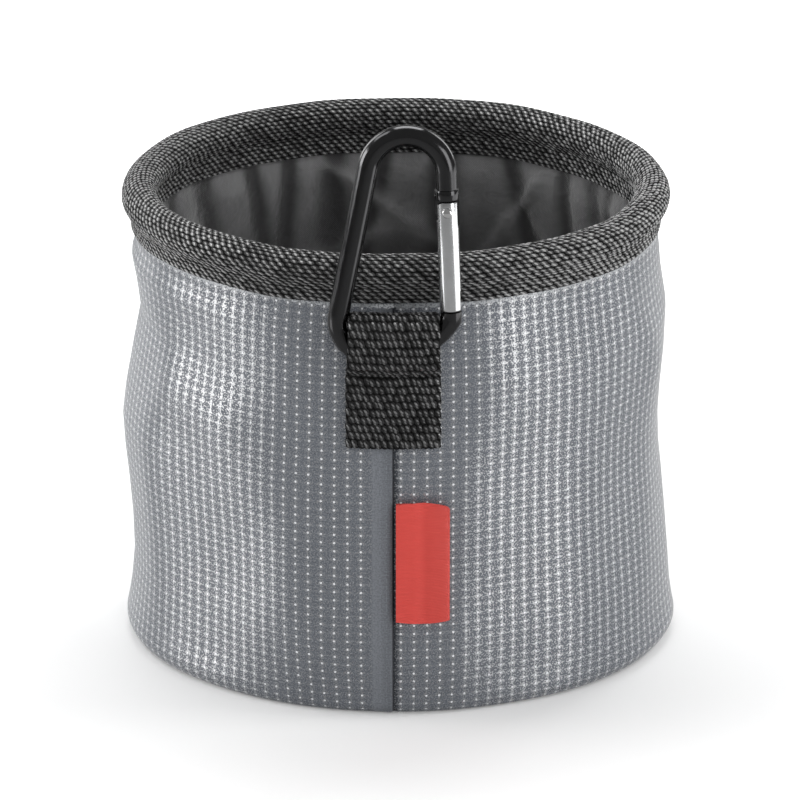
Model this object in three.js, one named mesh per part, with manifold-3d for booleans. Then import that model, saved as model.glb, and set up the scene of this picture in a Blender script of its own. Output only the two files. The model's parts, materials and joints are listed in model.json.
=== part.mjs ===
import * as THREE from 'three';
import { mergeVertices } from 'three/addons/utils/BufferGeometryUtils.js';
import Module from 'manifold-3d';

// Round fabric peg bag with a hooped rim, a webbing hanging strap and a sprung snap hook.
// Millimetres, +Z up. The origin is the centre of the base's underside, on the bag's axis.
// The front, with the strap, the seam and the label, faces -Y.

const wasm = await Module();
wasm.setup();

// Clearances between pieces
const seatGap = 0.3;
const runningGap = 0.25;
const cutOverrun = 1;

// How finely round forms are divided
const ringSegments = 60;
const cornerSteps = 3;
const rodSides = 12;
const rodSteps = 64;
const pinSides = 20;

// Bag: the outer face at the base, how far it draws in above it, and at which heights
const baseRadius = 76.2;
const baseCornerRadius = 5;
const waistTuck = 1.4;
const waistHeight = 46;
const bellyTuck = 1.1;
const bellyHeight = 84;
const neckTuck = 3.8;
const neckDrop = 17.1;
const rimHeight = 130.6;

// Bag: thickness of each layer
const shellThickness = 0.9;
const liningThickness = 0.5;
const basePanelThickness = 1.6;
const bindingThickness = 1.2;

// Rim binding, folded over the hoop
const rollRadius = 4.6;
const bindingOuterDrop = 13;
const bindingInnerDrop = 15;
const hoopBoreRadius = 1.6;
const hoopEndGap = 1;
const plugLength = 26;

// Webbing hanging strap: its loop reaches up to just below the binding
const webbingWidth = 25;
const webbingThickness = 1.4;
const loopWidth = 22.6;
const loopTopGap = 0.4;
const loopLength = 17.55;
const tailLength = 21.25;

// Snap hook: rod, bends and where the bends' centres lie above the bottom bar
const rodRadius = 2.9;
const archRadius = 10.4;
const archCentreAcross = 3.4;
const archCentreUp = 49.4;
const spineCornerRadius = 9.2;
const spineCornerAcross = -5.7;
const noseBendRadius = 20.2;
const noseBendAcross = -1.9;
const noseBendAngle = THREE.MathUtils.degToRad(31.6);
const noseStub = 2.2;
const barDrop = 11.2;
const barClearance = 0.8;
const rockRise = 3;

// Snap hook: gate, its pivot and its latch
const gateRadius = 2.95;
const gateBoreRadius = 2.15;
const gateBoreDepth = 17;
const gateTopRise = 2.8;
const pivotBelowArch = 10.4;
const tongueThickness = 2.4;
const tongueInnerReach = 3.4;
const tongueOuterReach = 3.2;
const tongueInnerDrop = 0.7;
const tongueOuterDrop = 3.9;
const tongueCornerRadius = 0.6;
const collarRadius = 3.25;
const collarLength = 2.9;
const collarChamfer = 0.3;
const latchLength = 5.2;
const latchOuterReach = 2.6;
const latchWall = 0.8;
const gateSwing = THREE.MathUtils.degToRad(25);

// Snap hook: rivet, plunger and spring
const rivetRadius = 1.1;
const rivetHeadRadius = 1.55;
const rivetHeadHeight = 0.5;
const plungerLength = 5;
const plungerTravel = 0.65;
const springWireRadius = 0.3;
const springCoilRadius = 1.45;
const springTurns = 8;

// Label, a folded ribbon sewn into the front seam
const labelReach = 14.7;
const labelHeight = 34;
const labelDrop = 16.4;
const ribbonThickness = 0.4;
const labelBulge = 1.4;

// Materials
function finish(color, roughness, metalness = 0) {
  return new THREE.MeshStandardMaterial({ color, roughness, metalness });
}
const greyFabric = finish(0x868e99, 0.75);
const blackNylon = finish(0x26272a, 0.6);
const blackWebbing = finish(0x2c2c2f, 0.85);
const bindingTape = finish(0x39393c, 0.85);
const hoopPlastic = finish(0xd8d8d2, 0.5);
const blackAnodised = finish(0x141416, 0.25, 0.8);
const bareAluminium = finish(0xc9cbcd, 0.3, 0.9);
const springSteel = finish(0x9a9c9e, 0.3, 1);
const redRibbon = finish(0xc9403a, 0.6);

// Conversions between three.js geometry and exact solids
function solidOf(geometry) {
  const bare = geometry.index ? geometry.toNonIndexed() : geometry.clone();
  for (const name of Object.keys(bare.attributes)) {
    if (name !== 'position') bare.deleteAttribute(name);
  }
  const merged = mergeVertices(bare, 1e-4);
  return new wasm.Manifold(new wasm.Mesh({
    numProp: 3,
    vertProperties: new Float32Array(merged.attributes.position.array),
    triVerts: new Uint32Array(merged.index.array),
  }));
}

function geometryOf(solid) {
  const mesh = solid.getMesh();
  const geometry = new THREE.BufferGeometry();
  geometry.setAttribute('position', new THREE.BufferAttribute(mesh.vertProperties, mesh.numProp));
  geometry.setIndex(new THREE.BufferAttribute(mesh.triVerts, 1));
  return geometry;
}

// A band of even thickness that follows a centre line: the closed outline of both its faces.
function bandOutline(centreLine, thickness) {
  const faces = [[], []];
  centreLine.forEach((point, i) => {
    const before = centreLine[Math.max(i - 1, 0)];
    const after = centreLine[Math.min(i + 1, centreLine.length - 1)];
    const along = after.clone().sub(before).normalize();
    const across = new THREE.Vector2(along.y, -along.x).multiplyScalar(thickness / 2);
    faces[0].push(point.clone().add(across));
    faces[1].unshift(point.clone().sub(across));
  });
  return [...faces[0], ...faces[1]];
}

// A ring made by turning a closed outline of radius and height about +Z.
function turnedRing(outline) {
  const closed = [...outline, outline[0].clone()];
  if (!THREE.ShapeUtils.isClockWise(outline)) closed.reverse();
  const ring = new THREE.LatheGeometry(closed.reverse(), ringSegments);
  return ring.rotateX(Math.PI / 2);
}

// A disc or pin turned from its upper edge's radii and heights, closed on the axis.
function turnedSolid(outline, segments) {
  const foot = new THREE.Vector2(0, outline[0].y);
  const top = new THREE.Vector2(0, outline[outline.length - 1].y);
  return new THREE.LatheGeometry([foot, ...outline, top], segments).rotateX(Math.PI / 2);
}

// A prism of an outline drawn in X and Z, centred on the plane Y = 0.
function plate(shape, thickness, curveSegments = cornerSteps) {
  const prism = new THREE.ExtrudeGeometry(shape, {
    depth: thickness,
    bevelEnabled: false,
    curveSegments,
  });
  return prism.rotateX(Math.PI / 2).translate(0, thickness / 2, 0);
}

function sweptRod(points, radius, sides, steps) {
  const section = new THREE.Shape();
  section.absarc(0, 0, radius, 0, 2 * Math.PI);
  return new THREE.ExtrudeGeometry(section, {
    steps,
    bevelEnabled: false,
    curveSegments: sides / 2,
    extrudePath: new THREE.CatmullRomCurve3(points),
  });
}

function boxBetween(low, high) {
  const size = high.clone().sub(low);
  const centre = low.clone().add(high).multiplyScalar(1 / 2);
  return new THREE.BoxGeometry(size.x, size.y, size.z).translate(centre.x, centre.y, centre.z);
}

// Outer face of the bag's wall: the soft corner at the base, the waist, the belly and the neck.
const waistRadius = baseRadius - waistTuck;
const bellyRadius = baseRadius - bellyTuck;
const neckRadius = baseRadius - neckTuck;
const neckHeight = rimHeight - neckDrop;
const rollCentreHeight = rimHeight - rollRadius;
const shellTop = rollCentreHeight - rollRadius + bindingThickness / 2;
const cornerCentre = new THREE.Vector2(baseRadius - baseCornerRadius, baseCornerRadius);

function wallFace(inset, cornerStart) {
  const points = [];
  const radius = baseCornerRadius - inset;
  for (let i = 0; i <= cornerSteps; i++) {
    const angle = cornerStart * (1 - i / cornerSteps);
    points.push(new THREE.Vector2(
      cornerCentre.x + radius * Math.cos(angle),
      cornerCentre.y - radius * Math.sin(angle),
    ));
  }
  const wall = new THREE.SplineCurve([
    new THREE.Vector2(baseRadius - inset, baseCornerRadius),
    new THREE.Vector2(waistRadius - inset, waistHeight),
    new THREE.Vector2(bellyRadius - inset, bellyHeight),
    new THREE.Vector2(neckRadius - inset, neckHeight),
    new THREE.Vector2(neckRadius - inset, shellTop),
  ]);
  return [...points, ...wall.getPoints(7).slice(1)];
}

function makeOuterShell() {
  return turnedRing(bandOutline(wallFace(shellThickness / 2, Math.PI / 2), shellThickness));
}

const basePanelRadius = cornerCentre.x - seatGap;
const liningBaseFloor = basePanelThickness + seatGap;
const liningInset = shellThickness + seatGap + liningThickness / 2;
const liningWallFoot = liningBaseFloor + liningThickness + seatGap + liningThickness / 2;
const liningCornerStart = Math.asin(
  (baseCornerRadius - liningWallFoot) / (baseCornerRadius - liningInset),
);
const liningBaseRadius = cornerCentre.x + Math.sqrt(
  (baseCornerRadius - shellThickness) ** 2 - (baseCornerRadius - liningBaseFloor) ** 2,
) - seatGap;

function makeBasePanel() {
  return turnedSolid([
    new THREE.Vector2(basePanelRadius, 0),
    new THREE.Vector2(basePanelRadius, basePanelThickness),
  ], ringSegments);
}

function makeLiningWall() {
  return turnedRing(bandOutline(wallFace(liningInset, liningCornerStart), liningThickness));
}

function makeLiningBase() {
  return turnedSolid([
    new THREE.Vector2(liningBaseRadius, liningBaseFloor),
    new THREE.Vector2(liningBaseRadius, liningBaseFloor + liningThickness),
  ], ringSegments);
}

// Rim binding: two legs that clasp the wall and a roll that wraps the hoop.
const outerLegRadius = neckRadius + seatGap + bindingThickness / 2;
const liningInnerRadius = neckRadius - liningInset - liningThickness / 2;
const innerLegRadius = liningInnerRadius - seatGap - bindingThickness / 2;
const rollCentreRadius = (outerLegRadius + innerLegRadius) / 2;
const rollLineRadius = rollRadius - bindingThickness / 2;
const hoopRadius = rollRadius - bindingThickness - seatGap;

function makeRimBinding() {
  const legTop = rollCentreHeight - rollRadius - bindingThickness / 2;
  const line = [
    new THREE.Vector2(outerLegRadius, rimHeight - bindingOuterDrop),
    new THREE.Vector2(outerLegRadius, legTop),
  ];
  const rollStart = THREE.MathUtils.degToRad(-38);
  const rollSteps = 8;
  for (let i = 0; i <= rollSteps; i++) {
    const angle = rollStart + (Math.PI - 2 * rollStart) * i / rollSteps;
    line.push(new THREE.Vector2(
      rollCentreRadius + rollLineRadius * Math.cos(angle),
      rollCentreHeight + rollLineRadius * Math.sin(angle),
    ));
  }
  line.push(new THREE.Vector2(innerLegRadius, legTop));
  line.push(new THREE.Vector2(innerLegRadius, rimHeight - bindingInnerDrop));
  return turnedRing(bandOutline(line, bindingThickness));
}

// The hoop is a plastic tube bent round, with its two ends facing each other at the back.
function hoopArc(halfAngle, centreAngle, steps) {
  const points = [];
  for (let i = 0; i <= steps; i++) {
    const angle = centreAngle - halfAngle + 2 * halfAngle * i / steps;
    points.push(new THREE.Vector3(
      rollCentreRadius * Math.cos(angle),
      rollCentreRadius * Math.sin(angle),
      rollCentreHeight,
    ));
  }
  return points;
}

function makeRimHoop() {
  const steps = 48;
  const points = hoopArc(Math.PI - hoopEndGap / 2 / rollCentreRadius, -Math.PI / 2, steps);
  const section = new THREE.Shape();
  section.absarc(0, 0, hoopRadius, 0, 2 * Math.PI);
  const bore = new THREE.Path();
  bore.absarc(0, 0, hoopBoreRadius, 0, 2 * Math.PI, true);
  section.holes.push(bore);
  return new THREE.ExtrudeGeometry(section, {
    steps,
    bevelEnabled: false,
    curveSegments: 4,
    extrudePath: new THREE.CatmullRomCurve3(points),
  });
}

function makeHoopPlug() {
  const points = hoopArc(plugLength / 2 / rollCentreRadius, Math.PI / 2, 6);
  return sweptRod(points, hoopBoreRadius - seatGap, 8, 6);
}

// Hanging strap: two layers stitched to the wall, and the loop above the stitching, which
// is drawn in between the hook's bends.
const strapSeatRadius = bellyRadius + seatGap;
const strapFaceRadius = strapSeatRadius + 2 * webbingThickness;
const strapTopHeight = rimHeight - bindingOuterDrop - loopTopGap;
const strapFoldHeight = strapTopHeight - loopLength;
const strapFootHeight = strapFoldHeight - tailLength;
const barHeight = strapTopHeight - barDrop;
const loopHalfOpening = rodRadius + barClearance;
const loopBack = -strapSeatRadius;
const barDepth = loopBack - webbingThickness - loopHalfOpening;
const loopFoot = strapFoldHeight + seatGap / 2;

function makeStrapTail() {
  const halfAngle = webbingWidth / 2 / strapFaceRadius;
  const section = new THREE.Shape();
  section.absarc(0, 0, strapFaceRadius, -Math.PI / 2 - halfAngle, -Math.PI / 2 + halfAngle);
  section.absarc(0, 0, strapSeatRadius, -Math.PI / 2 + halfAngle, -Math.PI / 2 - halfAngle, true);
  const height = strapFoldHeight - seatGap / 2 - strapFootHeight;
  return new THREE.ExtrudeGeometry(section, {
    depth: height,
    bevelEnabled: false,
    curveSegments: 10,
  }).translate(0, 0, strapFootHeight);
}

// The loop's side view, drawn with depth to the right and height up.
function loopSideView(inset) {
  const halfDepth = loopHalfOpening + webbingThickness - inset;
  const topRise = strapTopHeight - inset - barHeight - halfDepth;
  const view = inset > 0 ? new THREE.Path() : new THREE.Shape();
  view.absarc(barDepth, barHeight + topRise, halfDepth, 0, Math.PI);
  if (inset > 0) {
    view.absarc(barDepth, barHeight, halfDepth, Math.PI, 2 * Math.PI);
  } else {
    view.lineTo(barDepth - halfDepth, barHeight);
    view.quadraticCurveTo(barDepth - halfDepth, loopFoot, -strapFaceRadius, loopFoot);
    view.lineTo(loopBack, loopFoot);
  }
  return view;
}

function makeStrapLoop() {
  const side = loopSideView(0);
  side.holes.push(loopSideView(webbingThickness));
  const prism = new THREE.ExtrudeGeometry(side, {
    depth: loopWidth,
    bevelEnabled: false,
    curveSegments: 6,
  });
  const depthUpAcross = new THREE.Matrix4().makeBasis(
    new THREE.Vector3(0, 1, 0),
    new THREE.Vector3(0, 0, 1),
    new THREE.Vector3(1, 0, 0),
  );
  return prism.applyMatrix4(depthUpAcross).translate(-loopWidth / 2, 0, 0);
}

// Snap hook, drawn in X and Z from the centre of its bottom bar.
const archCentre = new THREE.Vector2(archCentreAcross, archCentreUp);
const spineCorner = new THREE.Vector2(spineCornerAcross, spineCornerRadius);
const noseBend = new THREE.Vector2(noseBendAcross, noseBendRadius);
const noseFoot = new THREE.Vector2(
  noseBend.x + noseBendRadius * Math.cos(noseBendAngle),
  noseBend.y - noseBendRadius * Math.sin(noseBendAngle),
);

// The spine is the common tangent of its two bends, and the gate's line is the tangent
// from the nose to the arch.
const spineRun = archCentre.clone().sub(spineCorner);
const spineLean = Math.atan2(spineRun.x, spineRun.y)
  - Math.asin((archRadius - spineCornerRadius) / spineRun.length());
const gateRun = archCentre.clone().sub(noseFoot);
const gateLean = Math.atan2(gateRun.x, gateRun.y) + Math.asin(archRadius / gateRun.length());
const gateUp = new THREE.Vector2(Math.sin(gateLean), Math.cos(gateLean));
const archEnd = new THREE.Vector2(
  archCentre.x + archRadius * Math.cos(-gateLean),
  archCentre.y + archRadius * Math.sin(-gateLean),
);
const pivot = archEnd.clone().addScaledVector(gateUp, -pivotBelowArch);
const noseTop = noseFoot.clone().addScaledVector(gateUp, noseStub);
const gateReach = pivot.distanceTo(noseTop) - seatGap;

function hookCentreLine() {
  const collarTop = gateTopRise + seatGap + collarLength;
  const line = [noseTop.clone()];
  const addArc = (centre, radius, from, to, steps) => {
    for (let i = 0; i <= steps; i++) {
      const angle = from + (to - from) * i / steps;
      line.push(new THREE.Vector2(
        centre.x + radius * Math.cos(angle),
        centre.y + radius * Math.sin(angle),
      ));
    }
  };
  addArc(noseBend, noseBendRadius, -noseBendAngle, -Math.PI / 2, 6);
  addArc(spineCorner, spineCornerRadius, -Math.PI / 2, -Math.PI - spineLean, 8);
  addArc(archCentre, archRadius, Math.PI - spineLean, -gateLean, 14);
  line.push(pivot.clone().addScaledVector(gateUp, collarTop - collarLength / 2));
  return line.map((point) => new THREE.Vector3(point.x, 0, point.y));
}

// The gate's own frame: the pivot is its origin and +Z runs up the gate.
function inGateFrame(geometry) {
  return geometry.rotateY(gateLean).translate(pivot.x, 0, pivot.y);
}

function tongueShape() {
  const top = gateTopRise + seatGap + collarLength / 2;
  const shape = new THREE.Shape();
  shape.moveTo(-tongueInnerReach, top);
  shape.lineTo(-tongueInnerReach, -tongueInnerDrop + tongueCornerRadius);
  shape.quadraticCurveTo(
    -tongueInnerReach, -tongueInnerDrop,
    -tongueInnerReach + tongueCornerRadius, -tongueInnerDrop - tongueSlope * tongueCornerRadius,
  );
  shape.lineTo(
    tongueOuterReach - tongueCornerRadius, -tongueOuterDrop + tongueSlope * tongueCornerRadius,
  );
  shape.quadraticCurveTo(
    tongueOuterReach, -tongueOuterDrop,
    tongueOuterReach, -tongueOuterDrop + tongueCornerRadius,
  );
  shape.lineTo(tongueOuterReach, top);
  return shape;
}

const tongueSlope = (tongueOuterDrop - tongueInnerDrop) / (tongueInnerReach + tongueOuterReach);
const latchTop = -gateReach - seatGap + latchLength;

function latchShape() {
  const inner = -gateRadius + latchWall + seatGap;
  const foot = -gateReach - seatGap - noseStub;
  const shape = new THREE.Shape();
  shape.moveTo(inner, foot);
  shape.lineTo(latchOuterReach, foot);
  shape.lineTo(latchOuterReach, latchTop - latchOuterReach);
  shape.quadraticCurveTo(latchOuterReach, latchTop, 0, latchTop);
  shape.lineTo(inner, latchTop);
  return shape;
}

function acrossPin(radius, length) {
  return new THREE.CylinderGeometry(radius, radius, length, pinSides);
}

// The rod is bent first; then its gate end is stamped to a collar and a flat tongue, and
// its nose to a flat latch that the gate closes over.
function makeHookBody(centreLine) {
  const collarFoot = gateTopRise + seatGap;
  const collar = turnedSolid([
    new THREE.Vector2(collarRadius, collarFoot),
    new THREE.Vector2(collarRadius, collarFoot + collarLength - collarChamfer),
    new THREE.Vector2(collarRadius - collarChamfer, collarFoot + collarLength),
  ], pinSides);
  const gateSweep = acrossPin(Math.hypot(gateRadius, gateTopRise) + seatGap, 4 * gateRadius);
  const shoulder = solidOf(collar).subtract(solidOf(gateSweep));
  const rivetHole = solidOf(acrossPin(rivetRadius + runningGap, 2 * tongueThickness));
  const tongue = solidOf(plate(tongueShape(), tongueThickness)).subtract(rivetHole);
  const latch = solidOf(plate(latchShape(), tongueThickness));
  const stamped = inGateFrame(geometryOf(shoulder.add(tongue).add(latch)));
  const rod = solidOf(sweptRod(centreLine, rodRadius, rodSides, rodSteps));
  return geometryOf(rod.add(solidOf(stamped)));
}

// The gate is a drilled rod: slotted at the top for the tongue, at the foot for the latch.
function makeGate() {
  const rod = new THREE.CylinderGeometry(
    gateRadius, gateRadius, gateReach + gateTopRise, pinSides,
  ).rotateX(Math.PI / 2).translate(0, 0, (gateTopRise - gateReach) / 2);
  const bore = new THREE.CylinderGeometry(
    gateBoreRadius, gateBoreRadius, gateBoreDepth + gateTopRise + cutOverrun, pinSides,
  ).rotateX(Math.PI / 2).translate(0, 0, (gateTopRise + cutOverrun - gateBoreDepth) / 2);
  const halfSlot = tongueThickness / 2 + runningGap;
  const wide = gateRadius + cutOverrun;
  const above = gateTopRise + cutOverrun;
  const innerSlotFoot = -tongueInnerDrop - tongueInnerReach * Math.sin(gateSwing) - 2 * seatGap;
  const innerSlot = boxBetween(
    new THREE.Vector3(-wide, -halfSlot, innerSlotFoot), new THREE.Vector3(0, halfSlot, above),
  );
  const outerSlot = boxBetween(
    new THREE.Vector3(0, -halfSlot, -tongueOuterDrop - 2 * seatGap),
    new THREE.Vector3(wide, halfSlot, above),
  );
  const latchSlot = boxBetween(
    new THREE.Vector3(-gateRadius + latchWall, -halfSlot, -gateReach - cutOverrun),
    new THREE.Vector3(wide, halfSlot, latchTop + 2 * seatGap),
  );
  let solid = solidOf(rod);
  for (const cut of [bore, innerSlot, outerSlot, latchSlot]) {
    solid = solid.subtract(solidOf(cut));
  }
  const rivetHole = acrossPin(rivetRadius + runningGap, 4 * gateRadius);
  return inGateFrame(geometryOf(solid.subtract(solidOf(rivetHole))));
}

function makeGateRivet() {
  const headFoot = gateRadius + runningGap / 2;
  const tip = headFoot + rivetHeadHeight;
  const outline = [
    new THREE.Vector2(rivetHeadRadius / 2, -tip),
    new THREE.Vector2(rivetHeadRadius, -headFoot - rivetHeadHeight / 3),
    new THREE.Vector2(rivetHeadRadius, -headFoot),
    new THREE.Vector2(rivetRadius, -headFoot),
    new THREE.Vector2(rivetRadius, headFoot),
    new THREE.Vector2(rivetHeadRadius, headFoot),
    new THREE.Vector2(rivetHeadRadius, headFoot + rivetHeadHeight / 3),
    new THREE.Vector2(rivetHeadRadius / 2, tip),
  ];
  return inGateFrame(turnedSolid(outline, pinSides).rotateX(Math.PI / 2));
}

// The plunger's slanted top presses on the tongue and turns the gate shut. It is drawn
// pressed in, as far down the bore as the open gate drives it.
const plungerRadius = gateBoreRadius - seatGap;
const plungerMidTop = -(tongueInnerDrop + tongueOuterDrop) / 2 - seatGap - plungerTravel;
const plungerFoot = plungerMidTop - plungerLength;

function makePlunger() {
  const rod = new THREE.CylinderGeometry(
    plungerRadius, plungerRadius, plungerLength + plungerRadius, pinSides,
  ).rotateX(Math.PI / 2).translate(0, 0, plungerFoot + (plungerLength + plungerRadius) / 2);
  const slantTop = new THREE.BoxGeometry(4 * gateRadius, 4 * gateRadius, 4 * gateRadius)
    .translate(0, 0, 2 * gateRadius)
    .rotateY(Math.atan(tongueSlope))
    .translate(0, 0, plungerMidTop);
  return inGateFrame(geometryOf(solidOf(rod).subtract(solidOf(slantTop))));
}

function makeGateSpring() {
  const top = plungerFoot - seatGap - springWireRadius;
  const foot = -gateBoreDepth + seatGap + springWireRadius;
  const stepsPerTurn = 8;
  const steps = springTurns * stepsPerTurn;
  const points = [];
  for (let i = 0; i <= steps; i++) {
    const angle = 2 * Math.PI * i / stepsPerTurn;
    points.push(new THREE.Vector3(
      springCoilRadius * Math.cos(angle),
      springCoilRadius * Math.sin(angle),
      foot + (top - foot) * i / steps,
    ));
  }
  return inGateFrame(sweptRod(points, springWireRadius, 5, steps));
}

// The label's plan view: out from the seam along the wall, round the fold and back.
function makeLabel() {
  const backRadius = strapSeatRadius;
  const steps = 10;
  const face = (inset) => {
    const points = [];
    const reach = labelReach - inset;
    for (let i = 0; i <= steps; i++) {
      const share = i / steps;
      const along = inset + (reach - inset) * Math.sin(share * Math.PI / 2);
      const swell = (labelBulge - inset) * Math.sqrt(1 - share ** 4);
      const radius = backRadius + ribbonThickness + swell;
      points.push(onWall(along, radius));
    }
    for (let i = steps; i >= 0; i--) {
      const along = inset + (reach - inset) * Math.sin(i / steps * Math.PI / 2);
      points.push(onWall(along, backRadius + inset));
    }
    return points;
  };
  const section = new THREE.Shape(face(0));
  section.holes.push(new THREE.Path(face(ribbonThickness)));
  return new THREE.ExtrudeGeometry(section, { depth: labelHeight, bevelEnabled: false })
    .translate(0, 0, strapFootHeight - labelDrop - labelHeight);
}

function onWall(along, radius) {
  const angle = -Math.PI / 2 + along / strapSeatRadius;
  return new THREE.Vector2(radius * Math.cos(angle), radius * Math.sin(angle));
}

// The hook stands in the loop and leans back on the rim, as far as lets the gate swing
// open past the front of the roll.
const gateAtRoll = pivot.x
  - (pivot.y + barHeight - rollCentreHeight) * Math.tan(gateSwing + gateLean);
const rollDepthThere = -Math.sqrt(rollCentreRadius ** 2 - gateAtRoll ** 2);
const toRoll = new THREE.Vector2(rollDepthThere - barDepth, rollCentreHeight - barHeight);
const hookLean = Math.atan2(toRoll.x, toRoll.y)
  - Math.asin((rollRadius + gateRadius + seatGap) / toRoll.length());

// The hook rocks about a line through the loop, just above the bar.
function hookPlacement() {
  const axisPoint = new THREE.Vector3(
    0, barDepth + rockRise * Math.sin(hookLean), barHeight + rockRise * Math.cos(hookLean),
  );
  return new THREE.Matrix4()
    .makeTranslation(axisPoint.x, axisPoint.y, axisPoint.z)
    .multiply(new THREE.Matrix4().makeRotationX(-hookLean))
    .multiply(new THREE.Matrix4().makeTranslation(0, 0, -rockRise));
}

function piece(name, geometry, material) {
  const mesh = new THREE.Mesh(geometry, material);
  mesh.name = name;
  return mesh;
}

const centreLine = hookCentreLine();

const bag = new THREE.Group();
bag.add(piece('outer_shell', makeOuterShell(), greyFabric));
bag.add(piece('base_panel', makeBasePanel(), greyFabric));
bag.add(piece('lining_wall', makeLiningWall(), blackNylon));
bag.add(piece('lining_base', makeLiningBase(), blackNylon));
bag.add(piece('rim_binding', makeRimBinding(), bindingTape));
bag.add(piece('rim_hoop', makeRimHoop(), hoopPlastic));
bag.add(piece('hoop_plug', makeHoopPlug(), hoopPlastic));
bag.add(piece('strap_tail', makeStrapTail(), blackWebbing));
bag.add(piece('label', makeLabel(), redRibbon));

const loop = new THREE.Group();
loop.add(piece('strap_loop', makeStrapLoop(), blackWebbing));

const hook = new THREE.Group();
hook.applyMatrix4(hookPlacement());
hook.add(piece('hook_body', makeHookBody(centreLine), blackAnodised));
hook.add(piece('hook_gate', makeGate(), bareAluminium));
hook.add(piece('gate_rivet', makeGateRivet(), bareAluminium));
hook.add(piece('gate_plunger', makePlunger(), springSteel));
hook.add(piece('gate_spring', makeGateSpring(), springSteel));

const pegBag = new THREE.Group();
pegBag.add(bag, loop, hook);

export default pegBag;
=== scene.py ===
import json
import math
import bpy
import numpy as np
from mathutils import Matrix, Vector


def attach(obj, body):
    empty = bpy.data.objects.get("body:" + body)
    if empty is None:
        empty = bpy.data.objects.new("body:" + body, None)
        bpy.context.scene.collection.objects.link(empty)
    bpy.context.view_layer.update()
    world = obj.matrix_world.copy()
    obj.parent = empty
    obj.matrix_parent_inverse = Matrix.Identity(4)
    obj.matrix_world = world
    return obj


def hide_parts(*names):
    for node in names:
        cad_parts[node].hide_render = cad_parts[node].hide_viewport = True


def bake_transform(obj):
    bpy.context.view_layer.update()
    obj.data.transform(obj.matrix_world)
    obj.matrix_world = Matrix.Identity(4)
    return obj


# Round peg bag: grey dotted fabric, woven binding, black lining, webbing strap, snap hook.
# Angles round the bag start at the front (-Y) and grow towards +X. Lengths in mm unless said.
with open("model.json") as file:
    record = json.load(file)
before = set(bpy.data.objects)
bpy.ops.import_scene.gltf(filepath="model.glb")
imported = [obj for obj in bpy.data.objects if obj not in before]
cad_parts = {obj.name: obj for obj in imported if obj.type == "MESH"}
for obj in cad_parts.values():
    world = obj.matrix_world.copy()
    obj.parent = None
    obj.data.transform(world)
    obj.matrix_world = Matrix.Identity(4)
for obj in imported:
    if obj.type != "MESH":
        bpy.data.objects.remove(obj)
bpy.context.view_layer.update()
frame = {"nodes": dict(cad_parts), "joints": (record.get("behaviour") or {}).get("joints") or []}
nodes = frame["nodes"]
joints = {joint["name"]: joint for joint in frame["joints"]}
mm = 0.001
print("frame loaded:", len(nodes), "nodes")


def clearSelection():
    bpy.ops.object.select_all(action="DESELECT")


def activate(obj):
    clearSelection()
    obj.select_set(True)
    bpy.context.view_layer.objects.active = obj


def applyModifier(obj, kind, **settings):
    activate(obj)
    modifier = obj.modifiers.new(kind.title(), kind)
    for key, value in settings.items():
        setattr(modifier, key, value)
    bpy.ops.object.modifier_apply(modifier=modifier.name)


def readPoints(obj):
    points = np.empty(len(obj.data.vertices) * 3, np.float32)
    obj.data.vertices.foreach_get("co", points)
    return points.reshape(-1, 3).astype(np.float64)


def writePoints(obj, points):
    obj.data.vertices.foreach_set("co", points.astype(np.float32).ravel())
    obj.data.update()


def editAll(obj, operator, **settings):
    # an edit-mode operator on the whole mesh
    activate(obj)
    bpy.ops.object.mode_set(mode="EDIT")
    bpy.ops.mesh.select_all(action="SELECT")
    operator(**settings)
    bpy.ops.object.mode_set(mode="OBJECT")


def clothGrid(name, across, up, place, size=(1.0, 1.0), closed=False):
    # a grid primitive laid on the piece's surface; its UV map is in metres of cloth
    clearSelection()
    bpy.ops.mesh.primitive_grid_add(x_subdivisions=across, y_subdivisions=up, size=2)
    obj = bpy.context.object
    obj.name = name
    points = readPoints(obj)
    u, v = (points[:, 0] + 1) / 2, (points[:, 1] + 1) / 2
    layer = obj.data.uv_layers.active.data
    corners = np.empty(len(layer) * 2, np.float32)
    layer.foreach_get("uv", corners)
    corners = corners.reshape(-1, 2) * np.array(size) * mm
    layer.foreach_set("uv", corners.astype(np.float32).ravel())
    writePoints(obj, np.stack(place(u, v), axis=1) * mm)
    if closed:
        editAll(obj, bpy.ops.mesh.remove_doubles, threshold=0.00002)
    return obj


def faceOutwards(obj, flip=False):
    editAll(obj, bpy.ops.mesh.normals_make_consistent, inside=flip)


def smooth(obj, angle=40):
    activate(obj)
    bpy.ops.object.shade_smooth_by_angle(angle=math.radians(angle))


def step(low, high, value):
    t = np.clip((value - low) / (high - low), 0, 1)
    return t * t * (3 - 2 * t)


def wrapped(angle):
    # degrees, brought between -180 and 180
    return (angle + 180) % 360 - 180


def around(angle, radius, height):
    # a place on the bag, from the angle in radians
    return radius * np.sin(angle), -radius * np.cos(angle), height


def directionAt(at, stops, line, gap):
    # unit direction of a line of points, at each place along it
    ahead, behind = np.clip(at + gap, 0, stops[-1]), np.clip(at - gap, 0, stops[-1])
    first, second = (np.interp(ahead, stops, line[:, k]) - np.interp(behind, stops, line[:, k])
                     for k in (0, 1))
    size = np.hypot(first, second)
    return first / size, second / size


# node materials: a value is a number, a colour or another node's output
def newMaterial(name, color=(0.5, 0.5, 0.5), roughness=0.5, metallic=0.0):
    mat = bpy.data.materials.new(name)
    mat.use_nodes = True
    shader = mat.node_tree.nodes["Principled BSDF"]
    tune(mat, shader, {"Base Color": (*color, 1), "Roughness": roughness, "Metallic": metallic})
    return mat, shader


def feed(mat, socket, value):
    if hasattr(value, "is_output"):
        mat.node_tree.links.new(value, socket)
    else:
        socket.default_value = value


def tune(mat, node, settings):
    # sets or links a node's inputs by their names
    for name, value in settings.items():
        feed(mat, node.inputs[name], value)


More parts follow.
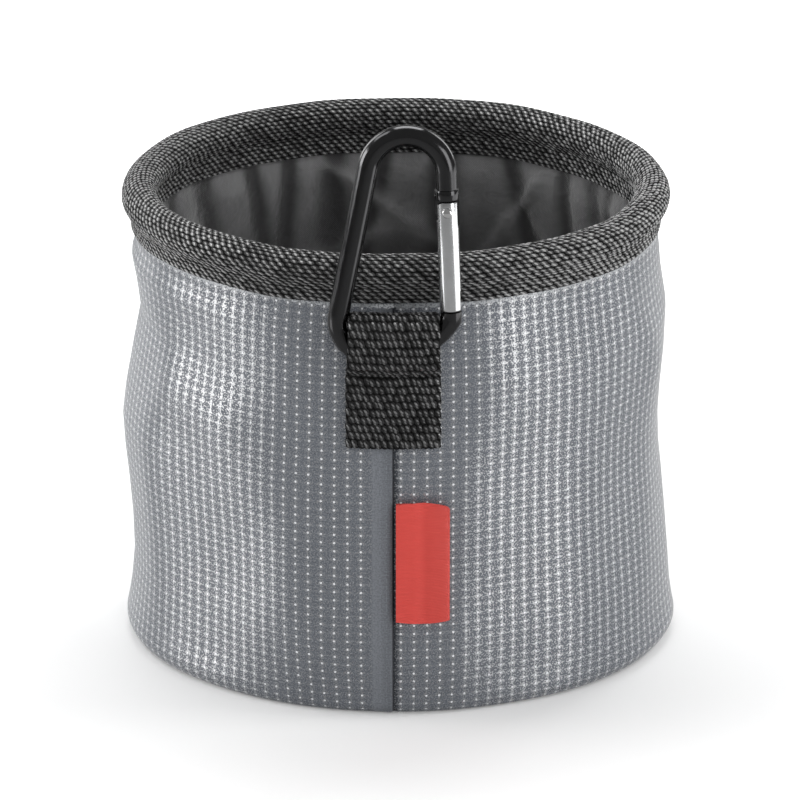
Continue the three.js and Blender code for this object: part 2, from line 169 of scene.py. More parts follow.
def addNode(mat, kind, **settings):
    made = mat.node_tree.nodes.new("ShaderNode" + kind)
    for key, value in settings.items():
        setattr(made, key, value)
    return made


def maths(mat, operation, *values, clamp=False):
    made = addNode(mat, "Math", operation=operation, use_clamp=clamp)
    for socket, value in zip(made.inputs, values):
        feed(mat, socket, value)
    return made.outputs[0]


def times(mat, first, second):
    return maths(mat, "MULTIPLY", first, second)


def plus(mat, first, second):
    return maths(mat, "ADD", first, second)


def minus(mat, first, second):
    return maths(mat, "SUBTRACT", first, second)


def stretch(mat, value, factor, shift):
    return maths(mat, "MULTIPLY_ADD", value, factor, shift)


def unsigned(mat, value):
    return maths(mat, "ABSOLUTE", value)


def sineOf(mat, value, turn):
    return maths(mat, "SINE", times(mat, value, turn))


def ramp(mat, value, low, high, toLow=0.0, toHigh=1.0):
    made = addNode(mat, "MapRange", interpolation_type="SMOOTHSTEP")
    for socket, given in zip(made.inputs, (value, low, high, toLow, toHigh)):
        feed(mat, socket, given)
    return made.outputs[0]


def mixColor(mat, share, first, second):
    made = addNode(mat, "Mix", data_type="RGBA")
    feed(mat, made.inputs[0], share)
    for socket, value in ((made.inputs[6], first), (made.inputs[7], second)):
        feed(mat, socket, value if hasattr(value, "is_output") else (*value, 1))
    return made.outputs[2]


def noiseOf(mat, vector, scale, detail=2.0, roughness=0.5):
    made = addNode(mat, "TexNoise")
    tune(mat, made, {"Vector": vector, "Scale": scale, "Detail": detail, "Roughness": roughness})
    return made.outputs["Fac"]


def bumpOf(mat, shader, height, distance, strength=1.0):
    made = addNode(mat, "Bump")
    tune(mat, made, {"Distance": distance, "Strength": strength, "Height": height})
    feed(mat, shader.inputs["Normal"], made.outputs[0])


def objectPlace(mat):
    return addNode(mat, "TexCoord").outputs["Object"]


def clothUv(mat):
    uv = addNode(mat, "TexCoord").outputs["UV"]
    parts = addNode(mat, "SeparateXYZ")
    feed(mat, parts.inputs[0], uv)
    return uv, parts.outputs[0], parts.outputs[1]


def cellOf(mat, value, pitch):
    # place inside one repeat, from -0.5 to 0.5
    return minus(mat, maths(mat, "FRACT", times(mat, value, 1 / pitch)), 0.5)


def setMaterial(obj, mat):
    obj.data.materials.clear()
    obj.data.materials.append(mat)


def seenFrom(azimuth, elevation):
    # unit vector from the bag towards a camera or lamp
    a, e = math.radians(azimuth), math.radians(elevation)
    return Vector((math.sin(a) * math.cos(e), -math.cos(a) * math.cos(e), math.sin(e)))


view = {
    "azimuth": 0.6, "elevation": 19.2, "distance": 2.2, "lens": 356.4,
    "target": (0.0008, 0, 0.065),
}


def makeCamera():
    bpy.ops.object.camera_add()
    camera = bpy.context.object
    back = seenFrom(view["azimuth"], view["elevation"])
    camera.location = Vector(view["target"]) + back * view["distance"]
    camera.rotation_euler = (-back).to_track_quat("-Z", "Y").to_euler()
    camera.data.sensor_width = 36
    camera.data.lens = view["lens"]
    camera.data.clip_start = 0.05
    camera.data.clip_end = 20
    bpy.context.scene.camera = camera


studio = {
    "ambient": 0.24, "mirroredWorld": 0.9, "mirroredFloor": 0.38,
    "floorColor": (0.80, 0.80, 0.80), "cameraShare": 1.07, "floorGlow": 0.16,
    "farGlow": 0.8, "fade": (0.10, 0.60), "aim": (0, 0, 0.07),
    # name: azimuth, elevation, distance, width, height, watts
    "lamps": {
        "leftBox": (-90, 13, 1.5, 0.90, 0.6, 10.8),
        "rightBox": (56, 12, 1.6, 0.80, 0.9, 7.4),
        "leftCard": (-64, -6, 0.285, 0.12, 0.07, 0.040),
        "rightCard": (78, -1, 0.28, 0.36, 0.12, 0.20),
        "topBox": (176, 62, 1.7, 1.1, 0.9, 15.0),
        "overLeft": (-100, 52, 1.7, 0.7, 0.7, 4.5),
        "overRight": (84, 48, 1.7, 0.5, 0.7, 6.5),
        "backLeft": (-138, 18, 1.8, 0.80, 1.2, 8.0),
        "backRight": (142, 18, 1.8, 0.60, 1.2, 5.7),
        "frontFill": (6, 28, 2.0, 0.9, 0.9, 6.5),
    },
    # lamps that light the pieces but are not mirrored in them, and cards that are only mirrored
    "unmirrored": ("frontFill", "overRight"), "mirroredOnly": ("leftCard", "rightCard"),
}


def makeWorld():
    # white behind the bag, softer as light, dimmer where it is mirrored in glossy pieces
    world = bpy.data.worlds.new("studioWorld")
    bpy.context.scene.world = world
    world.use_nodes = True
    background = world.node_tree.nodes["Background"]
    background.inputs["Color"].default_value = (1, 1, 1, 1)
    path = addNode(world, "LightPath")
    level = studio["ambient"]
    for ray, seen in (("Is Glossy Ray", studio["ambient"] * studio["mirroredWorld"]),
                      ("Is Camera Ray", 1.0)):
        strength = addNode(world, "MapRange")
        tune(world, strength, {"Value": path.outputs[ray], "To Min": level, "To Max": seen})
        level = strength.outputs[0]
    feed(world, background.inputs["Strength"], level)


def makeFloor():
    clearSelection()
    bpy.ops.mesh.primitive_plane_add(size=8, location=(0, 0, -0.0003))
    floor = bpy.context.object
    floor.name = "floor"
    mat, shader = newMaterial("floorPaper", studio["floorColor"], 0.9)
    path = addNode(mat, "LightPath")
    # the camera sees the floor fade to white away from the bag
    far = addNode(mat, "VectorMath", operation="LENGTH")
    feed(mat, far.inputs[0], objectPlace(mat))
    near, white = studio["fade"]
    glow = ramp(mat, far.outputs["Value"], near, white, studio["floorGlow"], studio["farGlow"])
    glow = times(mat, path.outputs["Is Camera Ray"], glow)
    color = studio["floorColor"]
    for ray, share in (("Is Glossy Ray", studio["mirroredFloor"]),
                       ("Is Camera Ray", studio["cameraShare"])):
        seen = tuple(c * share for c in studio["floorColor"])
        color = mixColor(mat, path.outputs[ray], color, seen)
    tune(mat, shader, {"Base Color": color, "Specular IOR Level": 0.1,
                       "Emission Color": (1, 1, 1, 1), "Emission Strength": glow})
    setMaterial(floor, mat)


def makeLamps():
    aim = Vector(studio["aim"])
    for name, (azimuth, elevation, distance, width, height, watts) in studio["lamps"].items():
        away = seenFrom(azimuth, elevation)
        bpy.ops.object.light_add(type="AREA", location=aim + away * distance)
        lamp = bpy.context.object
        lamp.name = name
        lamp.rotation_euler = (-away).to_track_quat("-Z", "Y").to_euler()
        lamp.data.shape = "RECTANGLE"
        lamp.data.size = width
        lamp.data.size_y = height
        lamp.data.energy = watts
        lamp.visible_camera = False
        lamp.visible_glossy = name not in studio["unmirrored"]
        lamp.visible_diffuse = name not in studio["mirroredOnly"]


bpy.context.scene.view_settings.view_transform = "Standard"
makeCamera()
makeWorld()
makeFloor()
makeLamps()
print("camera and studio done")


wall = {
    "across": 408, "up": 104, "thickness": 0.9, "cornerRadius": 5.0, "top": 119.0,
    "girth": 2 * math.pi * 75, "perDegree": 1.31,
    # height: radius at the front, right, back, left
    "profile": [
        (0.0, 70.9, 72.7, 71.2, 71.6),
        (5.0, 73.3, 77.4, 74.2, 75.6),
        (9.0, 74.2, 76.6, 75.2, 74.8),
        (14.0, 74.9, 75.9, 75.6, 74.0),
        (23.0, 75.4, 75.3, 75.3, 73.1),
        (34.0, 74.9, 74.5, 75.0, 73.4),
        (46.0, 74.8, 73.5, 74.8, 74.4),
        (54.0, 74.9, 72.7, 74.9, 75.3),
        (63.0, 75.0, 72.5, 75.0, 75.9),
        (71.0, 75.1, 73.0, 75.1, 75.0),
        (83.0, 75.1, 74.1, 75.1, 72.9),
        (94.0, 74.7, 74.5, 74.7, 70.8),
        (103.0, 74.0, 73.0, 74.2, 72.1),
        (109.0, 73.2, 72.4, 73.5, 73.3),
        (114.0, 72.5, 72.0, 72.8, 71.8),
        (119.0, 72.3, 72.2, 72.3, 72.1),
    ],
    # soft folds: start angle and height, end angle and height, half width, depth
    "folds": [
        (-19, 58, -16, 26, 15.0, 1.5),
        (-50, 112, -49, 76, 13.0, -1.1),
        (-48, 58, -39, 8, 15.0, -1.5),
        (35, 112, 32, 82, 12.0, -0.6),
        (-56, 82, -42, 76, 9.0, 1.2),
        (28, 66, 28, 8, 15.0, -1.4),
        (-34, 52, -44, 10, 10.0, -0.5),
        (-22, 45, -22, 34, 8.0, 0.7),
        (-38, 45, -38, 34, 8.0, -0.5),
        (-66, 66, -62, 20, 10.0, 0.5),
        (-70, 108, -50, 100, 6.0, -0.5),
        (-24, 112, -22, 92, 10.0, 0.3),
        (16, 108, 12, 60, 12.0, 0.4),
        (46, 60, 44, 10, 9.0, 0.4),
        (60, 104, 74, 84, 7.0, 0.6),
        (66, 50, 60, 10, 10.0, 0.4),
        (105, 110, 120, 30, 12.0, 0.9),
        (140, 100, 150, 20, 12.0, -0.9),
        (180, 108, 172, 16, 14.0, 0.8),
        (-150, 104, -140, 24, 12.0, -0.9),
        (-112, 108, -120, 30, 12.0, 0.9),
    ],
}


def wallRadius(angle, height):
    # angle in degrees from the front, height in mm; arrays of one size
    table = np.array(wall["profile"])
    columns = [np.interp(height, table[:, 0], table[:, i]) for i in (1, 2, 3, 4)]
    a = np.radians(angle)
    shares = [np.clip(np.cos(a), 0, 1) ** 2, np.clip(np.sin(a), 0, 1) ** 2,
              np.clip(-np.cos(a), 0, 1) ** 2, np.clip(-np.sin(a), 0, 1) ** 2]
    radius = sum(column * share for column, share in zip(columns, shares))
    relief = np.zeros_like(radius)
    scale = wall["perDegree"]
    for startAngle, startHeight, endAngle, endHeight, width, depth in wall["folds"]:
        start = np.array([startAngle * scale, startHeight])
        run = np.array([endAngle * scale, endHeight]) - start
        turned = wrapped(angle - startAngle) + startAngle
        dx, dy = turned * scale - start[0], height - start[1]
        along = np.clip((dx * run[0] + dy * run[1]) / (run @ run), 0, 1)
        gap = np.hypot(dx - along * run[0], dy - along * run[1])
        relief += depth * np.exp(-(gap / width) ** 2)
    # faint ripples over the whole cloth
    relief += 0.16 * np.sin(np.radians(angle * 9 + height * 1.7) + 1.0)
    relief += 0.10 * np.sin(np.radians(angle * 14 - height * 2.9))
    # flat behind the strap and the label
    calm = step(11, 18, np.abs(angle)) * step(0, 12, height) * step(0, 8, wall["top"] - height)
    return radius + relief * (0.12 + 0.88 * calm)


def makeShell():
    corner = wall["cornerRadius"]
    arc = corner * math.pi / 2
    total = arc + wall["top"] - corner

    def place(u, v):
        angle = u * 360
        along = v * total
        onCorner = along < arc
        turn = np.clip(along / arc, 0, 1) * math.pi / 2
        height = np.where(onCorner, corner * (1 - np.cos(turn)), corner + along - arc)
        foot = wallRadius(angle, np.zeros_like(angle))
        knee = wallRadius(angle, np.full_like(angle, corner))
        radius = np.where(onCorner, foot + (knee - foot) * np.sin(turn), wallRadius(angle, height))
        # front seam: the left panel's folded edge stands a little proud of the right panel
        gap = (angle - 360 * (angle > 180)) * wall["perDegree"] + 0.6
        proud = np.where(gap < 0, np.exp(-(gap / 2.2) ** 2) * 0.55, 0)
        dip = np.exp(-((gap - 0.5) / 0.55) ** 2) * 0.55
        return around(np.radians(angle), radius + proud - dip, height)

    shell = clothGrid("bagWall", wall["across"], wall["up"], place, (wall["girth"], total), True)
    faceOutwards(shell)
    applyModifier(shell, "SOLIDIFY", thickness=wall["thickness"] * mm, offset=-1)
    smooth(shell, 60)
    return shell


fabric = {
    "columnPitch": 3.57, "rowPitch": 2.35, "dot": 0.32, "dotEdge": 0.09, "shine": 2.9,
    # the darkest grey paints shade onto the weave between the dots, mixed with random darker specks
    "shade": (0.180, 0.193, 0.215), "shadeAndSpecks": (0.075, 0.082, 0.098), "satin": (0.165, 0.177, 0.200),
    "white": (0.84, 0.85, 0.87), "threadLine": 119.55, "thread": (0.66, 0.68, 0.70),
    # beside the front seam: its strip, painted darker towards the seam as the shade of its crease
    # and lighter away from it, its threads, a painted shadow in the seam's gap and painted shade on
    # the panel beneath the proud edge
    "turned": ((0.150, 0.160, 0.176), (0.215, 0.228, 0.250)), "turnedThread": (0.28, 0.30, 0.33),
    "gap": (0.012, 0.013, 0.015), "underlapShade": (0.055, 0.060, 0.068),
}


def seamShade(mat, u, v, broken):
    # the turned-in cloth beside the front seam has no dots, only thin light threads
    fromSeam = minus(mat, wall["girth"] * mm, u)
    clear = ramp(mat, fromSeam, 0.0056, 0.0064)
    warp, weft = unsigned(mat, cellOf(mat, u, 0.0017)), unsigned(mat, cellOf(mat, v, 0.0011))
    threads = ramp(mat, maths(mat, "MAXIMUM", warp, weft), 0.40, 0.49)
    plain = times(mat, minus(mat, 1.0, clear), times(mat, threads, broken))
    # painted shade: the dotless strip darkens towards the seam
    turned = mixColor(mat, ramp(mat, fromSeam, 0.0004, 0.0050), *fabric["turned"])
    shade = mixColor(mat, clear, turned, fabric["shade"])
    shade = mixColor(mat, times(mat, plain, 0.40), shade, fabric["turnedThread"])
    # painted shadow: a dark line in the seam's gap
    shade = mixColor(mat, ramp(mat, fromSeam, 0.0003, 0.0007), fabric["gap"], shade)
    # painted shade: the right panel is darker just beside the seam, as shade under the left panel's
    # proud edge
    shade = mixColor(mat, ramp(mat, u, 0.0004, 0.0022), fabric["underlapShade"], shade)
    return shade, clear


def threadShade(mat, u, v, fine, shade):
    # threads of the seam that holds the binding show along its lower edge
    scallop = unsigned(mat, sineOf(mat, u, math.pi / 0.0024))
    fromTop = minus(mat, fabric["threadLine"] * mm, v)
    thread = ramp(mat, stretch(mat, scallop, -0.0004, fromTop), 0.0001, 0.0004, 1.0, 0.0)
    thread = times(mat, thread, ramp(mat, fine, 0.35, 0.55, 0.35, 1.0))
    return mixColor(mat, thread, shade, fabric["thread"])


def makeFabricMaterial(seam=True):
    mat, shader = newMaterial("dottedFabric" if seam else "dottedBase", roughness=0.5)
    uv, u, v = clothUv(mat)
    x = cellOf(mat, u, fabric["columnPitch"] * mm)
    y = cellOf(mat, v, fabric["rowPitch"] * mm)
    xMm, yMm = times(mat, x, fabric["columnPitch"]), times(mat, y, fabric["rowPitch"])
    reach = maths(mat, "SQRT", plus(mat, times(mat, xMm, xMm), times(mat, yMm, yMm)))
    soft = fabric["dotEdge"]
    dot = ramp(mat, reach, fabric["dot"] - soft, fabric["dot"] + soft, 1.0, 0.0)
    # satin floats spread sideways from each dot and join the dots of a column
    halfWidth = maths(mat, "MAXIMUM", stretch(mat, unsigned(mat, y), -1.10, 0.42), 0.12)
    fine = noiseOf(mat, uv, 2100, 1.0)
    edge = minus(mat, unsigned(mat, x), halfWidth)
    satin = ramp(mat, plus(mat, edge, stretch(mat, fine, 0.30, -0.15)), -0.04, 0.04, 1.0, 0.0)
    speck = ramp(mat, fine, 0.54, 0.60)
    broken = ramp(mat, fine, 0.42, 0.50, 0.05, 1.0)
    glint = maths(mat, "MAXIMUM", times(mat, satin, broken), times(mat, speck, 0.75))
    glint = times(mat, glint, minus(mat, 1.0, dot))
    # painted shade: the tight weave between four dots is painted darker, standing in for the shade
    # where it lies deeper
    between = ramp(mat, plus(mat, unsigned(mat, x), unsigned(mat, y)), 0.45, 0.85)
    shade = fabric["shade"]
    if seam:
        shade, clear = seamShade(mat, u, v, broken)
        dot, between, glint = (times(mat, mask, clear) for mask in (dot, between, glint))
    # the darkening mixes that painted shade with fine specks of random darker tone
    dark = stretch(mat, between, 0.14, ramp(mat, fine, 0.34, 0.60, 0.42, 0.0))
    if seam:
        shade = threadShade(mat, u, v, fine, shade)
    cloth = mixColor(mat, dark, shade, fabric["shadeAndSpecks"])
    cloth = mixColor(mat, glint, cloth, fabric["satin"])
    # the shine is a reflection on top of the same grey, so away from the lamps it is not seen
    tune(mat, shader, {"Base Color": mixColor(mat, dot, cloth, fabric["white"]),
                       "IOR": ramp(mat, glint, 0, 1, 1.45, fabric["shine"]),
                       "Specular IOR Level": ramp(mat, glint, 0, 1, 0.3, 1.0),
                       "Roughness": ramp(mat, glint, 0, 1, 0.62, 0.38),
                       "Sheen Weight": 0.45, "Sheen Roughness": 0.35})
    # the shiny threads run round the bag, so their shine stands upright
    tangent = addNode(mat, "Tangent", direction_type="RADIAL", axis="Z")
    tune(mat, shader, {"Tangent": tangent.outputs[0], "Anisotropic": 0.9,
                       "Anisotropic Rotation": 0.25})
    bumpOf(mat, shader, stretch(mat, dot, 0.5, times(mat, fine, 0.5)), 0.00010, 0.5)
    return mat


shell = makeShell()
setMaterial(shell, makeFabricMaterial())
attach(shell, "bag")
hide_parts("outer_shell")
print("wall done:", len(shell.data.polygons), "faces")


base = {"radius": 70.9, "rings": 26, "around": 160, "thickness": 1.5, "sag": 0.25, "lip": 0.9}


def makeBase():
    def place(u, v):
        a = u * 2 * math.pi
        height = base["sag"] * (1 - v ** 4) + 0.12 * np.sin(3 * a) * v * (1 - v) + 0.08
        return around(a, base["radius"] * v, height + base["lip"] * step(0.965, 1.0, v))

    panel = clothGrid("bagBase", base["around"], base["rings"], place, closed=True)
    # its cloth lies flat, so its UV map is simply X and Y
    layer = panel.data.uv_layers.active.data
    for loop in panel.data.loops:
        point = panel.data.vertices[loop.vertex_index].co
        layer[loop.index].uv = (point.x, point.y)
    faceOutwards(panel)
    applyModifier(panel, "SOLIDIFY", thickness=base["thickness"] * mm, offset=-1)
    smooth(panel, 50)
    return panel


panel = makeBase()
setMaterial(panel, makeFabricMaterial(seam=False))
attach(panel, "bag")
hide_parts("base_panel")
print("base done")


binding = {
    "across": 720, "up": 128, "outerDrop": 13.0, "innerDrop": 15.0, "rollRadius": 4.6,
    "rollCentre": 71.55, "rimHeight": 130.6, "girth": 2 * math.pi * 73,
    "pitchU": 2 * math.pi * 73 / 199, "pitchV": 1.12, "slant": 0.35, "fill": (0.52, 0.56),
    "bump": 0.26, "hookDent": 0.5, "dentWidth": 0.3, "inRight": 1.3, "inLeft": 0.5,
    # colours between the stitches, painted shade, and on their crests, painted highlight; then
    # sheen, and how much painted light a stitch's body gets towards its crown
    "dark": (0.008, 0.008, 0.008), "light": (0.36, 0.36, 0.36), "sheen": 1.0, "body": 0.26,
    # a crest's half width, and how far it leans at the tape's outer edge and elsewhere
    "crest": (0.50, 0.45, 0.05),
}


def weaveBump(u, v, cloth):
    # plump slanted stitches, each row half a stitch on from the last; u and v in mm of cloth
    row = np.floor(v / cloth["pitchV"])
    x = u / cloth["pitchU"] + 0.5 * (row % 2)
    x = x - np.floor(x) - 0.5
    y = v / cloth["pitchV"] - row - 0.5
    x = x + cloth["slant"] * y
    wide, high = cloth["fill"]
    return np.sqrt(np.clip(1 - (x / wide) ** 2 - (y / high) ** 2, 0, 1))


def bindingLine():
    # the tape's cross-section, from the outer edge up, over the hoop and down inside
    top = binding["rimHeight"] - binding["rollRadius"]
    roll, centre = binding["rollRadius"], binding["rollCentre"]
    outer = [(73.75, binding["rimHeight"] - binding["outerDrop"]), (73.8, 119.5), (74.0, 121.2)]
    arc = [(centre + roll * math.cos(t), top + roll * math.sin(t))
           for t in np.radians(np.linspace(-48, 228, 40))]
    inner = [(69.4, 121.2), (69.25, 119.4), (69.2, binding["rimHeight"] - binding["innerDrop"])]
    line = np.array(outer + arc + inner)
    steps = np.hypot(*np.diff(line, axis=0).T)
    return line, np.concatenate([[0], np.cumsum(steps)])


def makeBinding():
    line, lengths = bindingLine()
    total = lengths[-1]

    def place(u, v):
        along = v * total
        radius = np.interp(along, lengths, line[:, 0])
        height = np.interp(along, lengths, line[:, 1])
        runR, runZ = directionAt(along, lengths, line, 0.4)
        outR, outZ = runZ, -runR
        a = u * 2 * math.pi
        sway = 0.22 * np.sin(5 * a + 0.6) + 0.16 * np.sin(9 * a + 2.0) + 0.10 * np.sin(17 * a)
        lift = binding["bump"] * weaveBump(u * binding["girth"], along, binding)
        edge = step(0, 2.0, along) * step(0, 2.0, total - along)
        radius = radius + outR * (lift * (0.4 + 0.6 * edge) + 0.35 * sway)
        radius = radius - binding["inRight"] * np.clip(np.sin(a), 0, 1) ** 3
        radius = radius - binding["inLeft"] * np.clip(-np.sin(a), 0, 1) ** 3
        # pressed in where the hook and its gate lie on it
        off = np.arctan2(np.sin(a), np.cos(a)) / binding["dentWidth"]
        radius = radius - binding["hookDent"] * np.exp(-off ** 4) * np.clip(outR, 0, 1)
        return around(a, radius, height + outZ * lift + sway * (1 - 0.4 * edge))

    tape = clothGrid("rimBinding", binding["across"], binding["up"], place,
                     (binding["girth"], total), closed=True)
    faceOutwards(tape)
    smooth(tape, 70)
    return tape


def makeWeaveMaterial(name, cloth):
    mat, shader = newMaterial(name, roughness=0.62)
    uv, u, v = clothUv(mat)
    row = maths(mat, "FLOOR", maths(mat, "DIVIDE", v, cloth["pitchV"] * mm))
    odd = times(mat, maths(mat, "FLOORED_MODULO", row, 2.0), 0.5)
    turns = plus(mat, maths(mat, "DIVIDE", u, cloth["pitchU"] * mm), odd)
    x = minus(mat, maths(mat, "FRACT", turns), 0.5)
    y = cellOf(mat, v, cloth["pitchV"] * mm)
    # no two stitches are quite as light as each other, or quite in line
    cell = addNode(mat, "CombineXYZ")
    tune(mat, cell, {"X": maths(mat, "FLOOR", turns), "Y": row})
    lot = addNode(mat, "TexWhiteNoise", noise_dimensions="2D")
    feed(mat, lot.inputs["Vector"], cell.outputs[0])
    drift = addNode(mat, "SeparateColor")
    feed(mat, drift.inputs[0], lot.outputs["Color"])
    y = plus(mat, y, ramp(mat, drift.outputs[1], 0, 1, -0.12, 0.12))
    x = plus(mat, x, ramp(mat, drift.outputs[0], 0, 1, -0.10, 0.10))
    x = maths(mat, "DIVIDE", stretch(mat, y, cloth["slant"], x), cloth["fill"][0])
    y = maths(mat, "DIVIDE", y, cloth["fill"][1])
    # every stitch is a bundle of yarns that lie along its slant
    strand = sineOf(mat, stretch(mat, x, 0.6, y), 8.5)
    fibres = noiseOf(mat, uv, 2600, 2.0, 0.6)
    reach = plus(mat, times(mat, x, x), times(mat, y, y))
    reach = plus(mat, reach, stretch(mat, fibres, 0.8, -0.4))
    crown = maths(mat, "SQRT", maths(mat, "SUBTRACT", 1.0, reach, clamp=True))
    # the crest of a stitch is a small dash, leaning further over along the tape's outer edge; it is
    # painted pale as a highlight, and the body of a stitch is painted lighter towards its crown
    crestHalf, edgeLean, usualLean = cloth["crest"]
    lean = stretch(mat, y, ramp(mat, v, 0.007, 0.011, edgeLean, usualLean), x)
    lean = maths(mat, "DIVIDE", lean, crestHalf)
    across = plus(mat, times(mat, lean, lean), times(mat, y, y))
    across = plus(mat, across, stretch(mat, fibres, 0.6, -0.3))
    share = stretch(mat, ramp(mat, crown, 0.15, 0.75), cloth["body"],
                    ramp(mat, across, 0.05, 0.66, 1.0, 0.0))
    # painted light: the tape is painted lighter towards its two sides, on the right more at the
    # front, standing in for the stronger light of the side lamps there
    parts = addNode(mat, "SeparateXYZ")
    feed(mat, parts.inputs[0], objectPlace(mat))
    sideLight = ramp(mat, parts.outputs[1], 0.0, 0.05, 1.7, 1.2)
    for value, *limits in ((lot.outputs["Value"], 0, 1, 0.50, 1.10),
                           (fibres, 0.32, 0.68, 0.60, 1.10), (strand, -1, 1, 0.55, 1.10),
                           (parts.outputs[0], 0.015, 0.055, 1.0, sideLight),
                           (parts.outputs[0], -0.070, -0.025, 1.45, 1.0)):
        share = times(mat, share, ramp(mat, value, *limits))
    # painted light and shade: the pale crests stand in for highlights, the dark gaps between
    # stitches for shade
    tune(mat, shader, {"Base Color": mixColor(mat, share, cloth["dark"], cloth["light"]),
                       "Roughness": ramp(mat, crown, 0, 1, 0.80, 0.38),
                       "Specular IOR Level": ramp(mat, share, 0, 1, 0.1, 0.9),
                       "IOR": ramp(mat, share, 0, 1, 1.45, 2.1),
                       "Sheen Weight": times(mat, share, cloth["sheen"]), "Sheen Roughness": 0.35})
    height = stretch(mat, strand, 0.12, stretch(mat, fibres, 0.25, crown))
    bumpOf(mat, shader, height, 0.00040, 0.9)
    return mat


tape = makeBinding()
setMaterial(tape, makeWeaveMaterial("bindingTape", binding))
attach(tape, "bag")
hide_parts("rim_binding")
print("binding done:", len(tape.data.polygons), "faces")


lining = {
    "across": 300, "up": 90, "radius": 70.6, "foot": 3.0, "top": 118.0, "thickness": 0.5,
    "puff": 2.9, "inset": 1.9, "flare": 1.2, "footLip": 1.4, "girth": 2 * math.pi * 70,
    # dark and pale: the nylon painted as shade in its tucks and deep in the bag, and painted as
    # light on its puffs
    "perDegree": 1.2, "creases": 54, "dark": (0.028, 0.028, 0.029), "pale": (0.230, 0.230, 0.233),
}
liningDisc = {
    "around": 120, "rings": 40, "radius": 69.0, "thickness": 0.4, "level": 2.2, "lip": 1.3,
    "creases": 16,
}


def liningRelief(angle, height):
    # nylon gathered by the binding's stitches: puffs between narrow tucks, and slanted creases
    rng = np.random.default_rng(7)
    down = lining["top"] - height
    place, gap = 0.0, np.full_like(angle, 99.0)
    while place < 352:
        lean, width = rng.uniform(-0.35, 0.35), rng.uniform(0.8, 1.5)
        gap = np.minimum(gap, np.abs(wrapped(angle - place - lean * down)) / width)
        place += rng.uniform(7, 17)
    relief = lining["puff"] * (1 - np.exp(-(gap / (3.0 - down / 50)) ** 2)) * np.exp(-down / 30)
    for _ in range(lining["creases"]):
        place, level = rng.uniform(0, 360), rng.uniform(12, 114)
        lean, width = rng.uniform(-1.6, 1.6), rng.uniform(1.2, 3.4)
        long, depth = rng.uniform(10, 30), rng.uniform(0.6, 1.7)
        gap = wrapped(angle - place)
        off = height - level - lean * gap * lining["perDegree"]
        along = gap * lining["perDegree"] / long
        relief += depth * np.exp(-np.abs(off / width) ** 1.5 - along ** 2)
    return relief


def makeLining():
    rise = lining["top"] - lining["foot"]

    def place(u, v):
        angle, height = u * 360, lining["foot"] + v * rise
        outer = wallRadius(angle, height) - lining["inset"]
        radius = np.minimum(outer, lining["radius"] + lining["flare"] * (1 - v))
        radius = radius - liningRelief(angle, height) * step(0, 0.10, 1 - v)
        radius = radius - lining["footLip"] * step(0.05, 0, v)
        return around(np.radians(angle), radius, height)

    nylon = clothGrid("liningWall", lining["across"], lining["up"], place,
                      (lining["girth"], rise), closed=True)
    # how far each point stands out of the tucks, for the material's painted light on the puffs and
    # painted shade in the tucks
    points = readPoints(nylon) / mm
    angle = np.degrees(np.arctan2(points[:, 0], -points[:, 1])) % 360
    puffed = np.clip(liningRelief(angle, points[:, 2]) / lining["puff"], 0, 1)
    layer = nylon.data.attributes.new("puff", "FLOAT", "POINT")
    layer.data.foreach_set("value", puffed.astype(np.float32))
    faceOutwards(nylon, flip=True)
    applyModifier(nylon, "SOLIDIFY", thickness=lining["thickness"] * mm, offset=-1)
    smooth(nylon, 60)
    return nylon


def makeLiningBase():
    rng = np.random.default_rng(11)
    creases = [(rng.uniform(0, 6.28), rng.uniform(-50, 50), rng.uniform(2, 5),
                rng.uniform(0.3, 0.9)) for _ in range(liningDisc["creases"])]

    def place(u, v):
        x, y, height = around(u * 2 * math.pi, liningDisc["radius"] * v,
                              np.full_like(u, liningDisc["level"]))
        for turn, offset, width, depth in creases:
            off = x * math.cos(turn) + y * math.sin(turn) - offset
            height += depth * np.exp(-(off / width) ** 2)
        height = height * (0.4 + 0.6 * step(1.0, 0.9, v)) + liningDisc["lip"] * step(0.9, 1.0, v)
        return x, y, height

    disc = clothGrid("liningBase", liningDisc["around"], liningDisc["rings"], place,
                     (440, liningDisc["radius"]), closed=True)
    faceOutwards(disc)
    applyModifier(disc, "SOLIDIFY", thickness=liningDisc["thickness"] * mm, offset=1)
    smooth(disc, 60)
    return disc


def makeNylonMaterial():
    mat, shader = newMaterial("liningNylon", (0.06, 0.06, 0.06), 0.42)
    place = objectPlace(mat)
    warp, weft = (sineOf(mat, along, 2 * math.pi / 0.0006) for along in clothUv(mat)[1:])
    worn = noiseOf(mat, place, 90, 4.0, 0.6)
    crinkle = noiseOf(mat, place, 420, 3.0, 0.55)
    # painted light and shade: the puffs are painted light grey, the tucks and the depth of the bag
    # stay black as painted shade; a noise adds random tone
    puffed = addNode(mat, "Attribute", attribute_name="puff").outputs["Fac"]
    puffLight = times(mat, ramp(mat, puffed, 0.10, 0.75, 0.04, 1.0),
                  ramp(mat, worn, 0.3, 0.7, 0.7, 1.0))
    tune(mat, shader, {"Base Color": mixColor(mat, puffLight, lining["dark"], lining["pale"]),
                       "Roughness": ramp(mat, worn, 0.3, 0.7, 0.36, 0.55),
                       "Specular IOR Level": 0.9, "Sheen Weight": 0.9, "Sheen Roughness": 0.4})
    weave = times(mat, times(mat, warp, weft), 0.25)
    bumpOf(mat, shader, plus(mat, times(mat, crinkle, 3.0), weave), 0.0003, 0.6)
    return mat


nylonMaterial = makeNylonMaterial()
for piece, node in ((makeLining(), "lining_wall"), (makeLiningBase(), "lining_base")):
    setMaterial(piece, nylonMaterial)
    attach(piece, "bag")
    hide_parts(node)
print("lining done")


